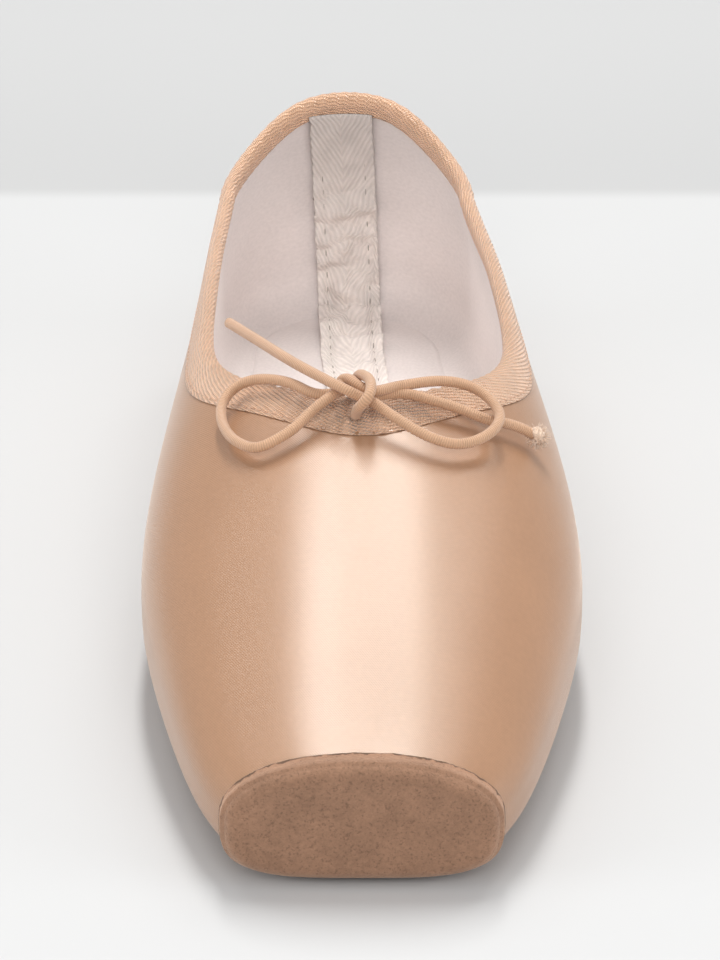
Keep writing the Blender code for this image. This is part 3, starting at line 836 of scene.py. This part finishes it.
pale = eased(tree, wander, 0.0006, 0.0036, 1.27, 1.0)
# A broken dark line of painted shadow runs along the gap under the patch's cut edge.
broken = cloudy(tree, place, 620.0, 3.0)
wander = number(tree, "MULTIPLY_ADD", broken, 0.0018, from_rim)
painted_edge_shadow = eased(tree, wander, 0.00102, 0.00142, 0.30, 1.0)
colour_by(
    tree, shader, SUEDE_COLOUR, spread(tree, nap, 0.25, 0.75, 0.80, 1.18),
    mottled(tree, place, 0.88, 1.10, 160.0, 4.0, 0.65), speck, pale, painted_edge_shadow,
)
relief(tree, shader, number(tree, "MULTIPLY_ADD", speck, 0.5, nap), 0.00022, 0.8)


def round_to_face(turn, grow, steps):
    """Points round the platform's edge and on to the middle of its face."""
    _, _, top, bottom, sway = section(0.0, FRONT, 0.0)
    radius = TOE_ROUND + grow
    row = []
    for i in range(1, steps + 1):
        lean = math.pi / 2 * i / steps
        point = ring_point(turn, 0.0, 0.0, grow, radius * (1 - math.cos(lean)))
        point.y = FRONT + TOE_ROUND - radius * math.sin(lean)
        row.append(point)
    last = row[-1]
    centre = Vector((sway, last.y, (top + bottom) / 2))
    for i in range(1, 2 * steps + 4):
        row.append(last.lerp(centre, i / (2 * steps + 3)))
    return row


def suede_rows():
    """Rings of the patch: its glued back from the middle out, its rim, and its face back in."""
    columns = []
    for k in range(SUEDE_TURNS + 1):
        turn = 2 * math.pi * k / SUEDE_TURNS
        around = Vector((math.cos(turn), math.sin(turn), 0.0))
        ragged = noise.noise(around * 14 + Vector((0.0, 0.0, 3.0))) * RAGGED
        ragged += noise.noise(around * 60 + Vector((0.0, 0.0, 5.0))) * RAGGED_FINE
        lift = math.cos(turn)
        reach = SUEDE_TOP_WRAP if lift > 0 else SUEDE_BOTTOM_WRAP
        wrap = SUEDE_SIDE_WRAP + (reach - SUEDE_SIDE_WRAP) * abs(lift) ** 1.6 + ragged
        edge = (wrap + TOE_ROUND) / SPAN
        rolled = TOE_ROUND / SPAN
        steps = []
        for under, share in ((SUEDE_UNDERCUT, 0.0), (0.0, 0.35), (0.0, 0.75), (0.00008, 0.95)):
            steps.append((edge - under / SPAN, SUEDE_GLUE + SUEDE_EDGE * share))
        for i in range(1, 13):
            share = i / 12
            grow = SUEDE_EDGE + (SUEDE_FACE - SUEDE_EDGE) * smooth(share)
            inward = SUEDE_FACE_IN / SPAN * min(share * 3, 1)
            steps.append((edge + (rolled - edge) * share - inward, grow))
        row = [ring_point(turn, station, 0.0, grow) for station, grow in steps]
        row += round_to_face(turn, SUEDE_FACE, FACE_STEPS)
        for point in row[RIM_ROWS:-1]:
            point += Vector((0.0, -0.5, 0.5)) * noise.noise(point * 700.0) * SUEDE_NAP
        columns.append(round_to_face(turn, SUEDE_GLUE * 0.8, BACK_STEPS)[::-1] + row)
    return [list(row) for row in zip(*columns)]


bm = bent_grid(suede_rows(), wrap=True, first=3 * BACK_STEPS + RIM_ROWS + 2)
bmesh.ops.dissolve_degenerate(bm, edges=bm.edges, dist=1e-7)
finish_piece("platform_suede", bm, [suede], ("toe_patch",))

# Binding: a bias strip of ribbed tape folded over the topline and stitched through, with the
# drawstring inside its roll. The drawn-up cord gathers it in small ripples, most at the throat.
BINDING_OUTER = 0.0050
BINDING_THROAT = 0.0058
BINDING_INNER = 0.0024
BINDING_SHEET = 0.0006
BINDING_EDGE = 0.00028
BINDING_ROLL = 0.0029
BINDING_SWELL = 0.0003
BINDING_STEPS = 560
BINDING_TUCK = 0.0002
SEAM_IN = 0.0010
SEAM_DIP = 0.00018
SEAM_HALF = 0.0004
GATHER_PITCH = 0.0026
GATHER = 0.00006
GATHER_WANDER = 0.3
GATHER_WANDERS = 14
THROAT_GATHER = 0.00016
DRAWN_GATHER = 0.00010
THROAT_REACH = 0.010
DRAWN_REACH = 0.012
DRAWN_ASIDE = -0.0015
BUNCHING = 0.0034
RIB_PITCH = 0.00240
RIB_ACROSS = 0.00080
BEAD_PITCH = 0.00046
BEAD_LEAN = 0.90
SLIT_ASIDE = -0.0016
SLIT_UP = 0.0046
SLIT_WIDTH = 0.00028
SLIT_HEIGHT = 0.0013
RAYS = 13.0
RAY_FADE = (0.0006, 0.0042)
BOW_SHADE_REACH = (0.009, 0.018)
HEEL_HIGHLIGHT_SPAN = (0.03, 0.10)
BINDING_COLOUR = (0.95, 0.58, 0.37)
BINDING_GLOSS = {"Specular IOR Level": 0.85, "Sheen Weight": 0.3, "Sheen Roughness": 0.3}
casing, tree, shader = shader_of("ribbed_binding", BINDING_COLOUR, 0.29, BINDING_GLOSS)


def surface_value(point, grow):
    """Negative inside the grown last, zero on its surface and positive outside."""
    half, widest, top, bottom, sway = section((point[1] - FRONT) / SPAN, point[1], grow)
    out = math.hypot((point[0] - sway) / half, max(point[1] - HEEL_CENTRE, 0.0) / (HEEL_DEPTH + grow))
    if point[2] > widest:
        return out**UPPER_POWER + ((point[2] - widest) / (top - widest)) ** UPPER_POWER - 1
    return out**LOWER_POWER + ((widest - point[2]) / (widest - bottom)) ** LOWER_POWER - 1


def slope_at(point, grow):
    """Gradient of surface_value, by small steps."""
    step = 1e-5
    slope = Vector()
    for axis in range(3):
        ahead, behind = Vector(point), Vector(point)
        ahead[axis] += step
        behind[axis] -= step
        slope[axis] = (surface_value(ahead, grow) - surface_value(behind, grow)) / (2 * step)
    return slope


def settle(point, grow):
    """The point moved straight onto the grown last."""
    point = Vector(point)
    for _ in range(4):
        slope = slope_at(point, grow)
        point -= slope * (surface_value(point, grow) / slope.length_squared)
    return point


def topline_point(place):
    """A point of the topline: places run from -1 at the heel's back through 0 at the throat."""
    station, swing, turn = topline_at(abs(place))
    return ring_point(math.copysign(turn, place), station, swing, 0.0)


def topline_frames(count):
    """For each topline point: the point, the outward normal and the way down the wall."""
    loop = [topline_point(2 * i / count - 1) for i in range(count)]
    frames = []
    for i, point in enumerate(loop):
        along = (loop[(i + 1) % count] - loop[i - 1]).normalized()
        outward = slope_at(point, 0.0).normalized()
        frames.append((point, outward, along.cross(outward).normalized()))
    return frames


def station_at(y):
    """The share of the last's run at a place along the shoe."""
    return min(max((y - FRONT) / SPAN, 0.0), 1.0)


def throat_share(point):
    """1 at the throat, down to 0 along the sides."""
    return math.exp(-((point.y - throat_point.y) ** 2) / THROAT_REACH**2)


def flap_at(point):
    """How far the binding reaches down the outside."""
    return BINDING_OUTER + (BINDING_THROAT - BINDING_OUTER) * throat_share(point)


frames = topline_frames(BINDING_STEPS)
runs = run_lengths([point for point, _, _ in frames + frames[:1]])
gathers = round(runs[-1] / GATHER_PITCH)
ribs = round(runs[-1] / RIB_PITCH)
throat_point = frames[len(frames) // 2][0]
rows = []
for (point, outward, down), run in zip(frames, runs):
    wall = wall_at(station_at(point.y))
    at_throat = throat_share(point)
    aside = point.x - throat_point.x - DRAWN_ASIDE
    drawn_up = math.exp(-(aside**2) / DRAWN_REACH**2) * at_throat
    share = run / runs[-1]
    wander = GATHER_WANDER * math.sin(2 * math.pi * GATHER_WANDERS * share)
    wave = math.sin(2 * math.pi * (gathers * share + wander))
    gather = wave * (GATHER + THROAT_GATHER * at_throat + DRAWN_GATHER * drawn_up)
    width = wall / 2 + BINDING_SHEET + BINDING_SWELL
    middle = point - outward * wall / 2
    flap = flap_at(point)
    roll = BINDING_ROLL + BUNCHING * drawn_up
    row = [settle(point + down * (flap - BINDING_TUCK), BINDING_TUCK / 4)]
    row.append(settle(point + down * flap, BINDING_EDGE * 0.6))
    for k in range(9):
        depth = (flap - BINDING_TUCK / 2) * (1 - k / 8) ** 1.15
        fuller = BINDING_SHEET + BINDING_SWELL / 2 - BINDING_EDGE
        thick = BINDING_EDGE + fuller * smooth(1 - depth / flap)
        dip = -SEAM_DIP * math.exp(-((depth - flap + SEAM_IN) ** 2) / SEAM_HALF**2)
        row.append(settle(point + down * depth, thick + dip + gather * 0.8))
    for k in range(1, 12):
        turn = math.pi - math.pi * k / 12
        swell = width + gather
        row.append(middle - outward * swell * math.cos(turn) - down * (roll + gather) * math.sin(turn))
    for depth in (0.0, BINDING_INNER / 2, BINDING_INNER - BINDING_TUCK):
        row.append(settle(point + down * depth, -wall - BINDING_SHEET - gather * 0.5))
    row.append(settle(point + down * BINDING_INNER, -wall - BINDING_EDGE))
    row.append(settle(point + down * (BINDING_INNER - BINDING_TUCK), -wall + BINDING_TUCK / 2))
    rows.append(row)
bm = bent_grid(rows + rows[:1], wrap=True, run=runs)
bmesh.ops.bridge_loops(bm, edges=[e for e in bm.edges if e.is_boundary])
_, along, across = own_map(tree)
place, parts = own_place(tree)
rib = waves(tree, along, runs[-1] / ribs, across, RIB_ACROSS)
bead_across = -BEAD_PITCH / (1 - BEAD_LEAN**2) ** 0.5
bead = waves(tree, along, BEAD_PITCH / BEAD_LEAN, across, bead_across)
bead = number(tree, "MULTIPLY_ADD", bead, 0.55, number(tree, "MULTIPLY", rib, 0.8))
from_slit = number(tree, "SUBTRACT", along, runs[len(runs) // 2] + SLIT_ASIDE)
# Painted shade darkens the binding near the slit, where the bow hangs over it.
painted_bow_shade = eased(tree, number(tree, "ABSOLUTE", from_slit), *BOW_SHADE_REACH, 0.87, 1.0)
# Painted highlight lightens the binding towards the top of the heel.
painted_heel_highlight = eased(tree, parts[1], *HEEL_HIGHLIGHT_SPAN, 1.0, 1.13)
up_slit = number(tree, "SUBTRACT", across, SLIT_UP)


def squares(tree, first, second):
    """The sum of two values' squares."""
    return number(tree, "MULTIPLY_ADD", first, first, number(tree, "MULTIPLY", second, second))


# The slit where the cords leave the binding is not cut: painted shade darkens an oval there for its
# opening.
wide_part = number(tree, "DIVIDE", from_slit, SLIT_WIDTH)
tall_part = number(tree, "DIVIDE", up_slit, SLIT_HEIGHT)
painted_slit_shade = eased(tree, squares(tree, wide_part, tall_part), 0.2, 1.4, 0.62, 1.0)
# Rays of gathers round the slit: a bump, with painted shade in their folds and painted light on their
# crests.
ray_turns = number(tree, "MULTIPLY", number(tree, "ARCTAN2", from_slit, up_slit), RAYS)
near_slit = eased(tree, number(tree, "SQRT", squares(tree, from_slit, up_slit)), *RAY_FADE, 1.0, 0.0)
ray = number(tree, "MULTIPLY", number(tree, "SINE", ray_turns), near_slit)
colour_by(
    tree, shader, BINDING_COLOUR, spread(tree, bead, -1.3, 1.3, 0.78, 1.14),
    mottled(tree, place, 0.92, 1.06, 300.0, 3.0), painted_slit_shade, painted_bow_shade, painted_heel_highlight,
    spread(tree, ray, -1.0, 1.0, 0.90, 1.05),
)
relief(tree, shader, number(tree, "MULTIPLY_ADD", ray, 0.9, bead), 0.00020, 1.0)
finish_piece("topline_binding", bm, [casing], ("binding",))

# The binding's seam: small stitches of matching thread, sunk near its lower edge all round.
STITCH_PITCH = 0.0017
STITCH_THICK = 0.00022
STITCH_SHARE = 0.72
STITCH_PROUD = 0.0001
THREAD_COLOUR = (0.70, 0.44, 0.30)
thread, _ = spun("matching_thread", THREAD_COLOUR, 0.5, 3000.0, 0.85, 1.12, 6000.0, 0.00005, 0.6)


def stitch(bm, start, end, outward, thick):
    """One stitch: a bead of thread pulled down between its two holes."""
    way = end - start
    ahead = way.normalized()
    side = outward.cross(ahead).normalized()
    turned = Matrix((ahead, side, ahead.cross(side))).transposed().to_4x4()
    shape = Matrix.Diagonal((way.length, thick, thick * 0.8, 1.0))
    place = Matrix.Translation((start + end) / 2) @ turned @ shape
    bmesh.ops.create_icosphere(bm, subdivisions=1, radius=0.5, matrix=place)


def stitch_along(bm, line, travel, count, share, thick, outs):
    """Stitches an even pitch apart along a line, each filling a share of its pitch."""
    for i in range(count):
        ends = []
        for offset in ((1 - share) / 2, (1 + share) / 2):
            at = travel[-1] * (i + offset) / count
            j = min(bisect.bisect_right(travel, at) - 1, len(line) - 2)
            part = (at - travel[j]) / (travel[j + 1] - travel[j])
            ends.append(line[j].lerp(line[j + 1], part))
        stitch(bm, ends[0], ends[1], outs[j], thick)
    for face in bm.faces:
        face.smooth = True


bm = bmesh.new()
line = []
for point, _, down in frames + frames[:1]:
    place = point + down * (flap_at(point) - SEAM_IN)
    line.append(settle(place, BINDING_EDGE + STITCH_PROUD))
outs = [outward for _, outward, _ in frames]
stitch_along(bm, line, runs, round(runs[-1] / STITCH_PITCH), STITCH_SHARE, STITCH_THICK, outs)
finish_piece("binding_stitches", bm, [thread])

# Heel tape: white herringbone tape stitched down the back seam inside the heel and forward onto
# the insole. It is slack at the corner, where it crumples.
INSOLE_THICKNESS = 0.0015
TAPE_WIDTH = 0.0128
TAPE_THICKNESS = 0.0007
TAPE_ON_INSOLE = 0.052
TAPE_COLUMNS = 32
TAPE_STEPS = 60
TAPE_CORNER = 0.0040
TAPE_TURN_IN = 0.0030
TAPE_SLACK = 0.0022
TAPE_LEAN = 0.0034
TAPE_EDGE_WAVE = 0.0003
HERRINGBONE_PITCH = 0.0022
HERRINGBONE_SLOPE = -2.1
TAPE_SHADED = 0.036
TAPE_COLOUR = (0.80, 0.735, 0.695)
cotton, tree, shader = shader_of("herringbone_tape", TAPE_COLOUR, 0.9, {"Sheen Weight": 0.2})
sheet, along, across = own_map(tree)
fold = number(tree, "PINGPONG", across, TAPE_WIDTH / 2)
slope = number(tree, "MULTIPLY_ADD", fold, HERRINGBONE_SLOPE, along)
rib = waves(tree, slope, HERRINGBONE_PITCH)
shade = eased(tree, along, 0.0, TAPE_SHADED, 0.80, 1.10)
colour_by(
    tree, shader, TAPE_COLOUR, spread(tree, rib, -1.0, 1.0, 0.92, 1.05),
    mottled(tree, sheet, 0.90, 1.08, 200.0, 4.0), shade,
)
fluffy = number(tree, "MULTIPLY_ADD", cloudy(tree, sheet, 900.0, 3.0), 1.5, rib)
relief(tree, shader, fluffy, 0.00010, 0.7)


def insole_top(y):
    """Height of the insole's upper face."""
    return BOTTOM + floor_rise(y) + wall_at(station_at(y)) + GAP + INSOLE_THICKNESS


def wall_point(x, height, inset):
    """A point of the lining's back wall, pushed in from it."""
    half, widest, top, bottom, sway = section(1.0, BACK, -QUARTER_WALL)
    power = UPPER_POWER if height > widest else LOWER_POWER
    tall = top - widest if height > widest else widest - bottom
    across = max(1 - (abs(height - widest) / (tall - inset)) ** power, 0.0) ** (1 / power)
    deep = math.sqrt(max(across**2 - (x / (half - inset)) ** 2, 0.0))
    return Vector((sway + x, HEEL_CENTRE + deep * (HEEL_DEPTH - QUARTER_WALL - inset), height))


def tape_rows(proud):
    """The tape's line, down the back wall, round the corner and forward."""
    start = topline_point(1.0).z - BINDING_INNER
    corner = insole_top(BACK) + TAPE_CORNER
    foot = wall_point(0.0, corner, proud).y
    shares = [i / TAPE_STEPS for i in range(TAPE_STEPS + 1)]
    middle_line = [("wall", start + (corner - start) * share) for share in shares]
    reach = TAPE_ON_INSOLE - TAPE_TURN_IN
    middle_line += [("floor", foot - TAPE_TURN_IN - reach * share) for share in shares]
    rows = []
    for j, (kind, place) in enumerate(middle_line):
        row = []
        for k in range(TAPE_COLUMNS + 1):
            uneven = noise.noise(Vector((k // TAPE_COLUMNS * 9.0, place * 400, 2.0)))
            shift = TAPE_LEAN * (j / len(middle_line) - 0.4)
            shift += uneven * TAPE_EDGE_WAVE * abs(2 * k / TAPE_COLUMNS - 1) ** 4
            x = TAPE_WIDTH * (k / TAPE_COLUMNS - 0.5) + shift
            lump = 0.55 + 1.6 * noise.noise(Vector((x * 130, place * 230, 1.0)))
            lump += 0.5 * noise.noise(Vector((x * 420, place * 500, 6.0)))
            if kind == "wall":
                slack = smooth(((start - place) / (start - corner) - 0.25) / 0.5)
                row.append(wall_point(x, place, proud + slack * max(lump, 0.0) * TAPE_SLACK))
            else:
                slack = 1 - 0.75 * smooth((foot - place) / TAPE_ON_INSOLE / 0.8)
                sway = section(station_at(place), place, 0.0)[4]
                height = insole_top(place) + proud + slack * max(lump, 0.0) * TAPE_SLACK
                row.append(Vector((sway + x, place, height)))
        rows.append(row)
    return rows


bm = bent_grid(tape_rows(TAPE_THICKNESS))
bmesh.ops.solidify(bm, geom=bm.faces[:], thickness=TAPE_THICKNESS * 0.6)
finish_piece("heel_tape_herringbone", bm, [cotton], ("heel_tape",))

# Its two rows of stitches are pulled down into the tape and show as short dark dashes: grey thread, its
# colour darkened further by painted shade of the sunken stitch holes.
DASH_PITCH = 0.0030
DASH_FROM_EDGE = 0.0019
DASH_SHARE = 0.5
DASH_COLOUR = (0.42, 0.375, 0.34)
thread_with_hole_shade, _ = spun("sunken_thread_painted_shade", DASH_COLOUR, 0.8, 3000.0, 0.8, 1.15, 6000.0, 0.00005, 0.6)
rows = tape_rows(TAPE_THICKNESS)
seam_rows = range(4, len(rows) - 2)
bm = bmesh.new()
for share in (DASH_FROM_EDGE / TAPE_WIDTH, 1 - DASH_FROM_EDGE / TAPE_WIDTH):
    k = round(TAPE_COLUMNS * share)
    line = [rows[j][k] for j in seam_rows]
    outs = []
    for j in seam_rows:
        across = rows[j][k + 1] - rows[j][k - 1]
        outs.append((rows[j + 1][k] - rows[j - 1][k]).cross(across).normalized())
    travel = run_lengths(line)
    count = int(travel[-1] / DASH_PITCH)
    stitch_along(bm, line, travel, count, DASH_SHARE, STITCH_THICK * 1.2, outs)
finish_piece("heel_tape_stitches", bm, [thread_with_hole_shade])

# Insole: a board covered in the same drill, cut to the last's underside and glued in along the
# bottom of the shoe.
INSOLE_FRONT = 0.021
INSOLE_ROWS = 100
INSOLE_COLUMNS = 28


def inside_half(y, height, clear):
    """Half width of the room inside the lining at a place and height."""
    station = station_at(y)
    wall = wall_at(station) + clear
    half, widest, _, bottom, sway = section(station, y, -wall)
    rise = min(max((widest - height) / (widest - bottom), 0.0), 1.0)
    across = (1 - rise**LOWER_POWER) ** (1 / LOWER_POWER)
    deep = max(y - HEEL_CENTRE, 0.0) / (HEEL_DEPTH - wall)
    return half * math.sqrt(max(across**2 - deep**2, 0.0)), sway


rows = []
near = FRONT + INSOLE_FRONT
far = BACK - QUARTER_WALL - GAP
for i in range(INSOLE_ROWS + 1):
    share = i / INSOLE_ROWS
    y = near + (far - near) * (math.sin(math.pi / 2 * share) if share > 0.5 else share * math.sqrt(2))
    height = insole_top(min(y, far))
    half, sway = inside_half(y, height, -GAP / 2)
    shares = [2 * k / INSOLE_COLUMNS - 1 for k in range(INSOLE_COLUMNS + 1)]
    rows.append([Vector((sway + half * share, y, height)) for share in shares])
bm = bent_grid(rows)
bmesh.ops.remove_doubles(bm, verts=bm.verts, dist=1e-6)
bmesh.ops.recalc_face_normals(bm, faces=bm.faces)
if sum(f.normal.z for f in bm.faces) < 0:
    bmesh.ops.reverse_faces(bm, faces=bm.faces)
bmesh.ops.solidify(bm, geom=bm.faces[:], thickness=INSOLE_THICKNESS * 0.7)
finish_piece("insole_sock", bm, [drill], ("insole",))

# Outsole: one narrow piece of bark-tanned leather, its edge rounded and burnished. It is sewn to
# the upper all round in a cut channel, which shows as a shallow groove near its edge.
SOLE_CHAMFER = 0.0004
SOLE_LIP = 0.0007
CHANNEL_IN = 0.0034
CHANNEL_DEPTH = 0.0004
CHANNEL_HALF = 0.00045
SOLE_ROWS = 120
SOLE_HALF_COLUMNS = 20
SEAT_HALF_COLUMNS = 8
LEATHER_COLOUR = (0.46, 0.285, 0.165)
leather, tree, shader = shader_of("sole_leather", LEATHER_COLOUR, 0.55)
place, _ = own_place(tree)
grain = cloudy(tree, place, 1100.0, 4.0, 0.6)
scuff = eased(tree, cloudy(tree, place, 22.0, 6.0, 0.7), 0.45, 0.62, 1.0, 0.80)
colour_by(
    tree, shader, LEATHER_COLOUR, mottled(tree, place, 0.88, 1.10, 70.0, 5.0, 0.6),
    spread(tree, grain, 0.3, 0.7, 0.92, 1.06), scuff,
)
relief(tree, shader, grain, 0.00010, 0.5)


def seat(x, y):
    """The satin's underside over a place of the sole, x from its middle."""
    half, widest, _, bottom, _ = section(station_at(y), y, GAP)
    out = min(math.hypot(x / half, max(y - HEEL_CENTRE, 0.0) / HEEL_DEPTH), 1.0)
    return widest - (widest - bottom) * (1 - out**LOWER_POWER) ** (1 / LOWER_POWER)


rows = []
start, end = FRONT + SOLE_FRONT, BACK - SOLE_BACK
reaches = [-math.cos(math.pi * i / SOLE_ROWS) for i in range(SOLE_ROWS + 1)]
for reach in reaches:
    y = (start + end) / 2 + reach * (end - start) / 2
    half = sole_half(y, 0.0)
    low = floor_rise(y)
    sway = sway_share(station_at(y)) * BALL_WIDTH
    lip = low + SOLE_THICKNESS + SOLE_LIP + GAP
    cut = min(SOLE_CHAMFER, half / 4)
    side_middle = (low + min(lip, seat(half, y))) / 2
    channel = CHANNEL_DEPTH if half >= CHANNEL_IN * 1.3 else 0.0
    row = []
    for k in range(2 * SOLE_HALF_COLUMNS + 1):
        x = half * (1 - k / SOLE_HALF_COLUMNS)
        groove = math.exp(-((half - abs(x) - CHANNEL_IN) ** 2) / CHANNEL_HALF**2) * channel
        rounding = max(cut - (half - abs(x)), 0.0)
        row.append(Vector((sway + x, y, low + groove + rounding)))
    row.append(Vector((sway - half, y, side_middle)))
    for k in range(2 * SEAT_HALF_COLUMNS + 1):
        x = half * (k / SEAT_HALF_COLUMNS - 1)
        row.append(Vector((sway + x, y, min(lip, seat(x, y)))))
    row.append(Vector((sway + half, y, side_middle)))
    row.append(row[0].copy())
    rows.append(row)
bm = bent_grid(rows, wrap=True)
bmesh.ops.dissolve_degenerate(bm, edges=bm.edges, dist=1e-6)
finish_piece("outsole_leather", bm, [leather], ("outsole",))

# The sole's seam: waxed linen thread sewn round in the channel, a little proud of its floor. It
# holds the sole to the upper's pleated edge.
SOLE_STITCH_PITCH = 0.0034
SOLE_STITCH_THICK = 0.0007
LINEN_COLOUR = (0.66, 0.55, 0.40)
linen, _ = spun("waxed_linen", LINEN_COLOUR, 0.5, 2000.0, 0.75, 1.15, 4000.0, 0.0001, 0.6)
line = []
for side, order in ((1, 1), (-1, -1)):
    for reach in reaches[::order]:
        y = (start + end) / 2 + reach * ((end - start) / 2 - CHANNEL_IN)
        x = sway_share(station_at(y)) * BALL_WIDTH + side * max(sole_half(y, 0.0) - CHANNEL_IN, 0.0)
        line.append(Vector((x, y, floor_rise(y) + CHANNEL_DEPTH)))
travel = run_lengths(line)
count = int(travel[-1] / SOLE_STITCH_PITCH)
outs = [Vector((0.0, 0.0, -1.0))] * len(line)
bm = bmesh.new()
stitch_along(bm, line, travel, count, STITCH_SHARE, SOLE_STITCH_THICK, outs)
finish_piece("outsole_stitches", bm, [linen])
